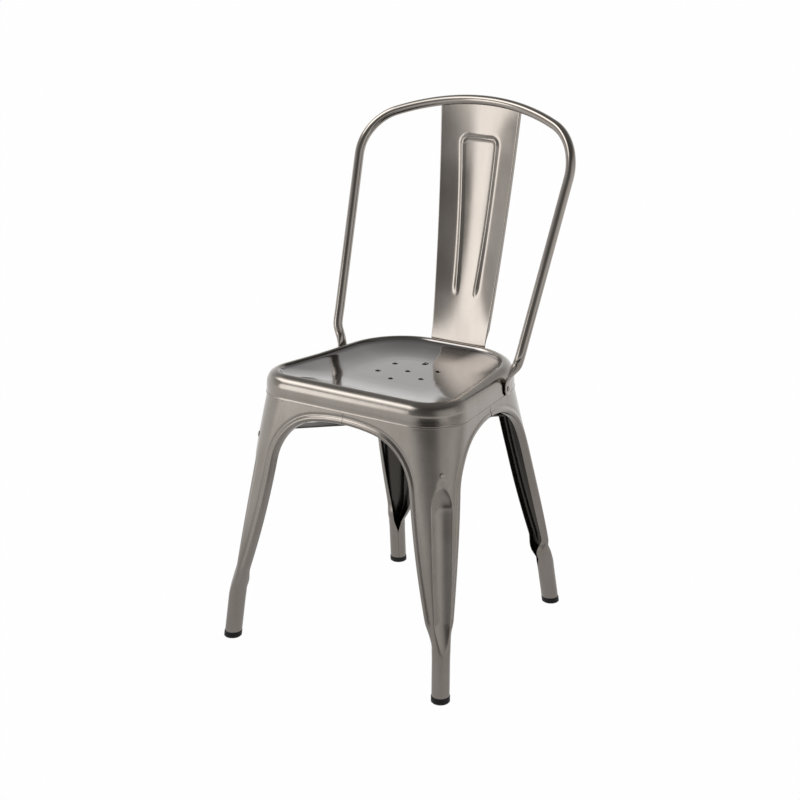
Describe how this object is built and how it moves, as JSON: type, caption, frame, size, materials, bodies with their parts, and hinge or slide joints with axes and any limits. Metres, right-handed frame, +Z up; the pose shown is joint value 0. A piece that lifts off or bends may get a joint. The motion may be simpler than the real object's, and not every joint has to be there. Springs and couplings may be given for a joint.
{
  "type": "metal bistro chair",
  "caption": "Stackable sheet-steel bistro chair with a dished seat pan, splayed fluted legs with rolled arches, a bent tube back hoop, a pressed back splat and a cross brace.",
  "frame": {"origin": "middle of the chair's overall width and depth, on the floor under the feet", "axes": "+Z up, the sitter faces -Y, +X is the sitter's left"},
  "size_m": [0.4382, 0.4492, 0.85],
  "materials": {
    "seat_steel": "raw steel under clear lacquer, satin",
    "splat_steel": "raw steel under clear lacquer, satin",
    "leg_steel": "raw steel under clear lacquer, satin",
    "tube_steel": "raw steel under clear lacquer, satin",
    "brace_steel": "dark raw steel, dull",
    "sleeve_steel": "dark raw steel, dull",
    "rivet_steel": "plain steel",
    "foot_rubber": "black rubber, matt"
  },
  "bodies": {
    "root": {"seat_pan": "seat_steel", "back_hoop": "tube_steel", "back_splat": "splat_steel", "front_left_leg": "leg_steel", "front_right_leg": "leg_steel", "rear_left_leg": "leg_steel", "rear_right_leg": "leg_steel", "front_left_foot_cap": "foot_rubber", "front_right_foot_cap": "foot_rubber", "rear_left_foot_cap": "foot_rubber", "rear_right_foot_cap": "foot_rubber", "front_left_foot_sleeve": "sleeve_steel", "front_right_foot_sleeve": "sleeve_steel", "rear_left_foot_sleeve": "sleeve_steel", "rear_right_foot_sleeve": "sleeve_steel", "lower_brace_strap": "brace_steel", "upper_brace_strap": "brace_steel", "brace_centre_rivet": "rivet_steel", "brace_end_rivets": "rivet_steel", "hoop_rivets": "rivet_steel"}
  },
  "joints": []
}
